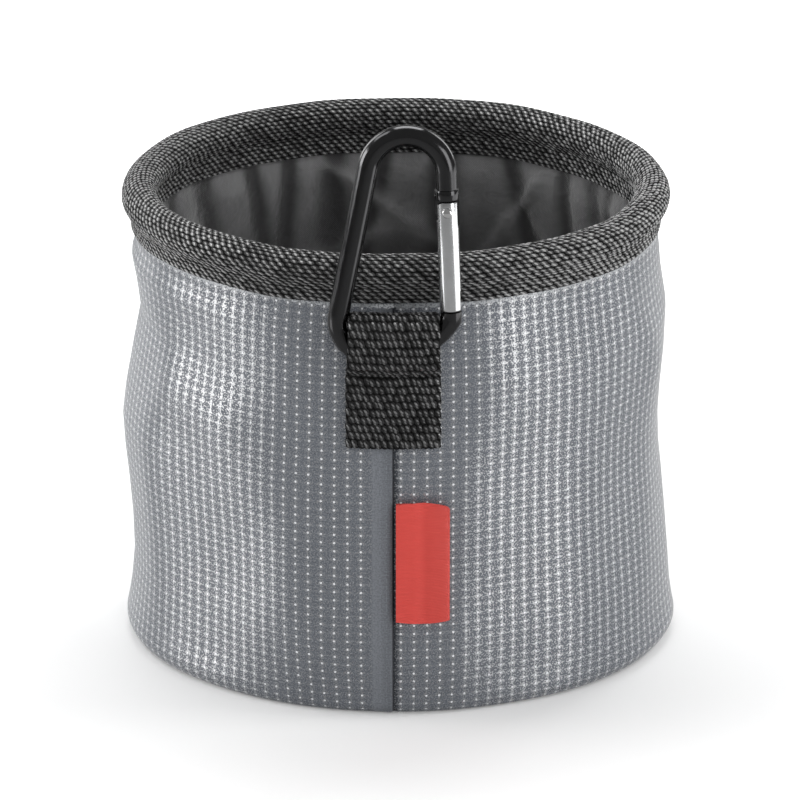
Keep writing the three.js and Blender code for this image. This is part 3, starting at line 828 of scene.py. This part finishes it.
strap = {
    "across": 100, "along": 320, "thickness": 1.35, "width": 25, "samples": 900,
    # half widths, at the foot and at the loop's top
    "left": (12.75, 12.0), "right": (12.45, 12.15), "hugRadius": 76.0,
    "pitchU": 1.55, "pitchV": 2.2, "slant": 0.3, "fill": (0.42, 0.54), "bump": 0.30,
    # colours between the stitches, painted shade, and on their crests, painted highlight
    "dark": (0.007, 0.007, 0.007), "light": (0.11, 0.11, 0.112), "sheen": 0.3, "body": 0.26,
    "crest": (0.48, 0.30, 0.30), "stitches": (80.6, 98.9), "stitchDepth": 0.28,
    # side view of the webbing's middle line, depth and height
    "line": [
        (-77.45, 78.4), (-77.45, 88.0), (-77.45, 96.5), (-77.5, 99.3), (-78.5, 100.6),
        (-81.0, 101.2), (-83.4, 102.4), (-84.7, 104.6), (-84.95, 107.5), (-84.9, 111.5),
        (-84.2, 114.4), (-82.6, 116.0), (-80.5, 116.5), (-78.4, 116.0), (-76.9, 114.4),
        (-76.2, 112.0), (-76.05, 106.0), (-76.05, 98.0), (-76.05, 88.0), (-76.05, 78.4),
    ],
}


def smoothLine(points, count):
    # Catmull-Rom through the points, resampled to even steps
    points = np.array(points, float)
    padded = np.vstack([2 * points[0] - points[1], points, 2 * points[-1] - points[-2]])
    dense = []
    for i in range(1, len(padded) - 2):
        p0, p1, p2, p3 = padded[i - 1:i + 3]
        for t in np.linspace(0, 1, 24, endpoint=False):
            dense.append(0.5 * (2 * p1 + (p2 - p0) * t + (2 * p0 - 5 * p1 + 4 * p2 - p3) * t ** 2
                                + (3 * p1 - p0 - 3 * p2 + p3) * t ** 3))
    dense = np.array(dense + [padded[-2]])
    lengths = np.concatenate([[0], np.cumsum(np.linalg.norm(np.diff(dense, axis=0), axis=1))])
    at = np.linspace(0, lengths[-1], count)
    line = np.stack([np.interp(at, lengths, dense[:, k]) for k in range(dense.shape[1])], 1)
    return line, lengths[-1]


def makeStrap():
    line, total = smoothLine(strap["line"], strap["samples"])
    samples = np.linspace(0, 1, strap["samples"])

    def place(u, v):
        depth, height = np.interp(v, samples, line[:, 0]), np.interp(v, samples, line[:, 1])
        runY, runZ = directionAt(v, samples, line, 0.003)
        outY, outZ = -runZ, runY
        rise = step(98, 112, height)
        left, right = (foot + (top - foot) * rise for foot, top in (strap["left"], strap["right"]))
        x = -left + (left + right) * u
        edge = step(0, 0.05, u) * step(0, 0.05, 1 - u)
        lift = strap["bump"] * weaveBump(u * strap["width"], v * total, strap) * (0.3 + 0.7 * edge)
        # sewn flat at the foot and across the loop's mouth
        for level in strap["stitches"]:
            lift = lift - strap["stitchDepth"] * np.exp(-((height - level) / 0.5) ** 2) * (v < 0.5)
        # follows the round of the bag where it is sewn to it
        hug = strap["hugRadius"] - np.sqrt(strap["hugRadius"] ** 2 - x ** 2)
        lift = lift - 0.30 * (1 - edge)
        return x, depth + outY * lift + hug, height + outZ * lift

    webbing = clothGrid("hangingStrap", strap["across"], strap["along"], place,
                        (strap["width"], total))
    faceOutwards(webbing)
    if sum(polygon.normal.y * polygon.area for polygon in webbing.data.polygons
           if polygon.center.y < -0.084) > 0:
        editAll(webbing, bpy.ops.mesh.flip_normals)
    applyModifier(webbing, "SOLIDIFY", thickness=strap["thickness"] * mm, offset=0)
    smooth(webbing, 60)
    return webbing


webbing = makeStrap()
setMaterial(webbing, makeWeaveMaterial("strapWebbing", strap))
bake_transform(webbing)
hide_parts("strap_tail", "strap_loop")
print("strap done:", len(webbing.data.polygons), "faces")


label = {
    "across": 70, "up": 48, "foot": 28.2, "top": 61.8, "reach": 14.5, "seat": 75.35,
    "bulge": 1.35, "thickness": 0.35, "width": 34, "samples": 500,
    "seamRadius": 75.4, "seamTurn": 0.0066,
    # its colour near the seam and near the fold: painted light and painted shade
    "litNearSeam": (0.78, 0.069, 0.054), "shadedNearFold": (0.61, 0.050, 0.038),
}


def makeLabel():
    reach, seat, bulge = label["reach"], label["seat"], label["bulge"]

    def outwards(share):
        return reach * math.sin(share * math.pi / 2)

    outline = [(outwards(share), seat + 0.45 + bulge * math.sqrt(max(0.0, 1 - share ** 4)))
               for share in np.linspace(0, 1, 24)]
    outline += [(outwards(share), seat + 0.2) for share in np.linspace(0.97, 0, 24)]
    line, total = smoothLine(outline, label["samples"])
    samples = np.linspace(0, 1, label["samples"])

    def place(u, v):
        along = np.interp(u, samples, line[:, 0])
        radius = np.interp(u, samples, line[:, 1])
        height = label["foot"] + (label["top"] - label["foot"]) * v
        front = u < 0.5
        swell = np.sin(np.clip(along / reach, 0, 1) * math.pi)
        radius = radius + front * 0.30 * swell * np.cos((v - 0.5) * 2.4) ** 2
        radius = radius - front * 0.30 * np.exp(-((along / reach - 0.50) / 0.11) ** 2)
        # the open ends bow out beyond the sewn edge
        height = height + front * 0.55 * swell * (2 * v - 1)
        # its top edge rounds down to the fold
        past = np.clip((along / reach - 0.42) / 0.58, 0, 1)
        height = height - 2.0 * (1 - np.sqrt(1 - past ** 2)) * np.clip(2 * v - 1, 0, 1) ** 3
        return around(along / label["seamRadius"] + label["seamTurn"], radius, height)

    ribbon = clothGrid("sideLabel", label["across"], label["up"], place, (total, label["width"]))
    faceOutwards(ribbon)
    if sum(polygon.normal.y for polygon in ribbon.data.polygons[:label["across"] // 3]) > 0:
        editAll(ribbon, bpy.ops.mesh.flip_normals)
    applyModifier(ribbon, "SOLIDIFY", thickness=label["thickness"] * mm, offset=-1)
    smooth(ribbon, 50)
    return ribbon


def makeRibbonMaterial():
    mat, shader = newMaterial("redRibbon", (0.64, 0.060, 0.046), 0.5)
    uv, u, v = clothUv(mat)
    worn = noiseOf(mat, uv, 300, 3.0)
    # painted light: the ribbon is painted lighter near the seam and darker towards its fold, as the
    # light falls on it; the noise adds random tone
    share = stretch(mat, worn, 0.3, ramp(mat, u, 0.003, 0.014, 0, 0.7))
    tune(mat, shader, {"Base Color": mixColor(mat, share, label["litNearSeam"], label["shadedNearFold"]),
                       "Roughness": ramp(mat, worn, 0.3, 0.7, 0.45, 0.6), "Sheen Weight": 0.1})
    bumpOf(mat, shader, sineOf(mat, v, 2 * math.pi / 0.00045), 0.00006, 0.5)
    return mat


ribbon = makeLabel()
setMaterial(ribbon, makeRibbonMaterial())
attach(ribbon, "bag")
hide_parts("label")
print("label done")


hook = {
    "rod": 2.9, "arch": 10.4, "archCentre": (3.4, 49.4), "spineCorner": (-5.7, 9.2),
    "cornerRadius": 9.2, "noseBend": (-1.9, 20.2), "noseRadius": 20.2, "noseAngle": 31.6,
    "noseStub": 2.2, "pivotBelowArch": 10.4, "rockRise": 3.0,
    "gate": 2.95, "bore": 2.15, "boreDepth": 17.0, "topRise": 2.8, "tongue": 2.4,
    "tongueIn": 3.4, "tongueOut": 3.2, "dropIn": 0.7, "dropOut": 3.9,
    "collar": 3.25, "collarLength": 2.9, "latch": 5.2, "latchOut": 2.6, "latchWall": 0.8,
    "rivet": 1.1, "rivetHead": 1.40, "headHeight": 0.72, "swing": 25,
    # gaps: at the gate's two ends, beside the tongue, at the slots' ends and round the rivet
    "gap": 0.3, "sideGap": 0.25, "slotGap": 0.6, "rivetGap": 0.2,
}


def hookFrame():
    rock, swing = joints["hook_rock"], joints["gate_swing"]
    lean = math.atan2(-swing["axis"][2], swing["axis"][1])
    return (Matrix.Translation(Vector(rock["pos_m"])) @ Matrix.Rotation(-lean, 4, "X")
            @ Matrix.Translation(Vector((0, 0, -hook["rockRise"] * mm))))


def hookGeometry():
    # the side view of the hook in mm: X is outwards from the spine, Z is up
    arch, corner, nose = (np.array(hook[key]) for key in ("archCentre", "spineCorner", "noseBend"))
    angle = math.radians(hook["noseAngle"])
    noseFoot = nose + hook["noseRadius"] * np.array([math.cos(-angle), math.sin(-angle)])
    run, gateRun = arch - corner, arch - noseFoot
    spineLean = math.atan2(*run) - math.asin((hook["arch"] - hook["cornerRadius"])
                                             / np.linalg.norm(run))
    gateLean = math.atan2(*gateRun) + math.asin(hook["arch"] / np.linalg.norm(gateRun))
    up = np.array([math.sin(gateLean), math.cos(gateLean)])
    archEnd = arch + hook["arch"] * np.array([math.cos(-gateLean), math.sin(-gateLean)])
    pivot = archEnd - up * hook["pivotBelowArch"]
    noseTop = noseFoot + up * hook["noseStub"]
    reach = np.linalg.norm(pivot - noseTop) - hook["gap"]
    return {"arch": arch, "corner": corner, "nose": nose, "angle": angle, "spineLean": spineLean,
            "gateLean": gateLean, "up": up, "pivot": pivot, "noseTop": noseTop, "reach": reach,
            "collarFoot": hook["topRise"] + hook["gap"],
            "latchTop": -reach - hook["gap"] + hook["latch"]}


shape = hookGeometry()
toRow = hookFrame()
gateToHook = (Matrix.Translation(Vector((shape["pivot"][0], 0, shape["pivot"][1])) * mm)
              @ Matrix.Rotation(shape["gateLean"], 4, "Y"))


def settle(obj, matrix):
    obj.data.transform(matrix)
    obj.data.update()


def sweptRod(name, points, radius):
    # a round rod along a row of points, made as a bevelled curve and turned into a mesh
    curve = bpy.data.curves.new(name, "CURVE")
    curve.dimensions = "3D"
    curve.bevel_depth = radius * mm
    curve.bevel_resolution = 10
    curve.use_fill_caps = True
    spline = curve.splines.new("POLY")
    spline.points.add(len(points) - 1)
    for target, (x, y, z) in zip(spline.points, points):
        target.co = (x * mm, y * mm, z * mm, 1)
    obj = bpy.data.objects.new(name, curve)
    bpy.context.scene.collection.objects.link(obj)
    activate(obj)
    bpy.ops.object.convert(target="MESH")
    return bpy.context.object


def arcPoints(centre, radius, start, end, count):
    return [(centre[0] + radius * math.cos(t), 0, centre[1] + radius * math.sin(t))
            for t in np.linspace(start, end, count)]


def settleNew(name):
    # names the primitive just added and writes its place, turn and size into its mesh
    obj = bpy.context.object
    obj.name = name
    activate(obj)
    bpy.ops.object.transform_apply(location=True, rotation=True, scale=True)
    return obj


def addCylinder(name, radius, depth, place=(0, 0, 0), axis="Z", sides=48):
    clearSelection()
    turn = {"Z": (0, 0, 0), "Y": (math.pi / 2, 0, 0)}[axis]
    bpy.ops.mesh.primitive_cone_add(vertices=sides, radius1=radius * mm, radius2=radius * mm,
                                    depth=depth * mm, location=Vector(place) * mm, rotation=turn)
    return settleNew(name)


def addBox(name, low, high):
    clearSelection()
    low, high = Vector(low) * mm, Vector(high) * mm
    bpy.ops.mesh.primitive_cube_add(size=1, location=(low + high) / 2, scale=high - low)
    return settleNew(name)


def combine(obj, other, operation):
    applyModifier(obj, "BOOLEAN", object=other, operation=operation, solver="EXACT")
    bpy.data.objects.remove(other)


def softenEdges(obj, width, segments=2):
    applyModifier(obj, "BEVEL", width=width * mm, segments=segments, limit_method="ANGLE",
                  angle_limit=math.radians(35), harden_normals=False)


def addPlate(name, outline, thickness):
    # a flat plate cut to an outline in the gate's X and Z, extruded through its thickness
    clearSelection()
    bpy.ops.mesh.primitive_circle_add(vertices=len(outline), fill_type="NGON")
    obj = bpy.context.object
    obj.name = name
    writePoints(obj, np.array([(x * mm, -thickness / 2 * mm, z * mm) for x, z in outline]))
    editAll(obj, bpy.ops.mesh.extrude_region_move,
            TRANSFORM_OT_translate={"value": (0, thickness * mm, 0)})
    faceOutwards(obj)
    return obj


def makeHookBody():
    collarFoot, latchTop = shape["collarFoot"], shape["latchTop"]
    top = shape["pivot"] + shape["up"] * (collarFoot + hook["collarLength"] / 2)
    points = [(shape["noseTop"][0], 0, shape["noseTop"][1])]
    points += arcPoints(shape["nose"], hook["noseRadius"], -shape["angle"], -math.pi / 2, 26)
    points += arcPoints(shape["corner"], hook["cornerRadius"], -math.pi / 2,
                        -math.pi - shape["spineLean"], 36)
    points += arcPoints(shape["arch"], hook["arch"], math.pi - shape["spineLean"],
                        -shape["gateLean"], 56)
    points.append((top[0], 0, top[1]))
    body = sweptRod("hookBody", points, hook["rod"])
    collar = addCylinder("collar", hook["collar"], hook["collarLength"],
                         (0, 0, collarFoot + hook["collarLength"] / 2))
    softenEdges(collar, 0.28)
    # the tongue's outline, each corner cut off twice
    left, right, high = -hook["tongueIn"], hook["tongueOut"], collarFoot + 1.4
    leftDrop, rightDrop = -hook["dropIn"], -hook["dropOut"]
    drops = [(left, high), (left, leftDrop + 0.5), (left + 0.25, leftDrop - 0.1),
             (left + 0.7, leftDrop - 0.4), (right - 0.6, rightDrop + 0.3),
             (right - 0.15, rightDrop + 0.2), (right, rightDrop + 0.6), (right, high)]
    tongue = addPlate("tongue", drops, hook["tongue"])
    foot = -shape["reach"] - hook["gap"] - hook["noseStub"]
    inner, outer = -hook["gate"] + hook["latchWall"] + hook["gap"], hook["latchOut"]
    rounded = [(outer * math.cos(t), latchTop - outer * (1 - math.sin(t)))
               for t in np.linspace(0, math.pi / 2, 8)]
    latch = addPlate("latch", [(inner, foot), (outer, foot), *rounded, (inner, latchTop)],
                     hook["tongue"])
    for plate in (tongue, latch):
        softenEdges(plate, 0.14)
    for extra in (collar, tongue, latch):
        settle(extra, gateToHook)
        combine(body, extra, "UNION")
    settle(body, toRow)
    faceOutwards(body)
    smooth(body, 38)
    return body


def makeGate():
    rise, reach, wide = hook["topRise"], shape["reach"], hook["gate"] + 1
    gate = addCylinder("hookGate", hook["gate"], reach + rise, (0, 0, (rise - reach) / 2), sides=64)
    softenEdges(gate, 0.45, 4)
    half, above, slotGap = hook["tongue"] / 2 + hook["sideGap"], rise + 1, hook["slotGap"]
    swing = math.radians(hook["swing"])
    innerFoot = -hook["dropIn"] - hook["tongueIn"] * math.sin(swing) - slotGap
    # the head's inner corner is cut away so that it clears the collar as the gate opens
    swept = addBox("cutSwept", (-2 * wide, -wide, rise + 0.15), (2 * wide, wide, 3 * wide))
    settle(swept, Matrix.Rotation(-swing, 4, "Y"))
    cuts = [
        swept,
        addCylinder("cutBore", hook["bore"], hook["boreDepth"] + above,
                    (0, 0, (above - hook["boreDepth"]) / 2)),
        addBox("cutInner", (-wide, -half, innerFoot), (0, half, above)),
        addBox("cutOuter", (-0.01, -half, -hook["dropOut"] - slotGap), (wide, half, above)),
        addBox("cutLatch", (-hook["gate"] + hook["latchWall"], -half, -reach - 1),
               (wide, half, shape["latchTop"] + slotGap)),
        addCylinder("cutRivet", hook["rivet"] + hook["rivetGap"], 4 * hook["gate"],
                    axis="Y", sides=32),
    ]
    for cut in cuts:
        combine(gate, cut, "DIFFERENCE")
    settle(gate, toRow @ gateToHook)
    smooth(gate, 35)
    return gate


def makeRivet():
    reach = hook["gate"] + 0.12
    rivet = addCylinder("gateRivet", hook["rivet"], 2 * reach + 0.1, axis="Y", sides=40)
    flat = hook["headHeight"] / hook["rivetHead"]
    for side in (-1, 1):
        clearSelection()
        bpy.ops.mesh.primitive_uv_sphere_add(segments=40, ring_count=24, scale=(1, flat, 1),
                                             radius=hook["rivetHead"] * mm,
                                             location=(0, side * reach * mm, 0))
        combine(rivet, settleNew("rivetDome"), "UNION")
    settle(rivet, toRow @ gateToHook)
    smooth(rivet, 35)
    return rivet


metals = {
    # name: colour, roughness, brushing, scratches, spread of roughness, lacquer
    "blackAnodised": ((0.062, 0.062, 0.064), 0.17, 900, 0.06, 0.07, 0.3),
    "bareAluminium": ((0.86, 0.87, 0.88), 0.20, 2600, 0.02, 0.02, 0.0),
    "rivetHead": ((0.93, 0.93, 0.93), 0.16, 900, 0.02, 0.03, 0.0),
    "springSteel": ((0.52, 0.52, 0.53), 0.3, 1500, 0.4, 0.07, 0.0),
}


def makeMetalMaterial(name, color, roughness, brushed, scratch, vary, lacquer):
    mat, shader = newMaterial(name, color, roughness, 1.0)
    place = objectPlace(mat)
    spread = addNode(mat, "Mapping")
    tune(mat, spread, {"Scale": (brushed, brushed, 60), "Vector": place})
    streaks = noiseOf(mat, spread.outputs[0], 1.0, 3.0, 0.6)
    worn = noiseOf(mat, place, 220, 3.0, 0.6)
    darker = tuple(c * 0.72 for c in color)
    rough = ramp(mat, streaks, 0.3, 0.7, roughness - vary, roughness + vary)
    tune(mat, shader, {"Base Color": mixColor(mat, worn, darker, color), "Roughness": rough})
    if lacquer:
        tune(mat, shader, {"Coat Weight": lacquer, "Coat Roughness": 0.08})
    bumpOf(mat, shader, streaks, 0.00002, scratch)
    return mat


metal = {name: makeMetalMaterial(name, *values) for name, values in metals.items()}
hookBody, hookGate, rivet = makeHookBody(), makeGate(), makeRivet()
for piece, finish, body, node, slotName in (
        (hookBody, "blackAnodised", "hook", "hook_body", "hook_black"),
        (hookGate, "bareAluminium", "gate", "hook_gate", "hook_bare"),
        (rivet, "rivetHead", "hook", "gate_rivet", "steel")):
    setMaterial(piece, metal[finish])
    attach(piece, body)
    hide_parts(node)
print("hook done:", len(hookBody.data.polygons), "faces")


def makePlasticMaterial():
    mat, shader = newMaterial("hoopTube", (0.72, 0.72, 0.70), 0.45)
    place = objectPlace(mat)
    cloud = noiseOf(mat, place, 60, 3.0)
    tune(mat, shader, {"Base Color": mixColor(mat, cloud, (0.66, 0.66, 0.63), (0.78, 0.78, 0.76))})
    bumpOf(mat, shader, noiseOf(mat, place, 900, 2.0), 0.00005, 0.3)
    return mat


# the hidden pieces keep the frame's solids and only get a material
hoopPlastic = makePlasticMaterial()
for name, mat in (("rim_hoop", hoopPlastic), ("hoop_plug", hoopPlastic),
                  ("gate_plunger", metal["springSteel"]), ("gate_spring", metal["springSteel"])):
    setMaterial(nodes[name], mat)
print("kept nodes done")
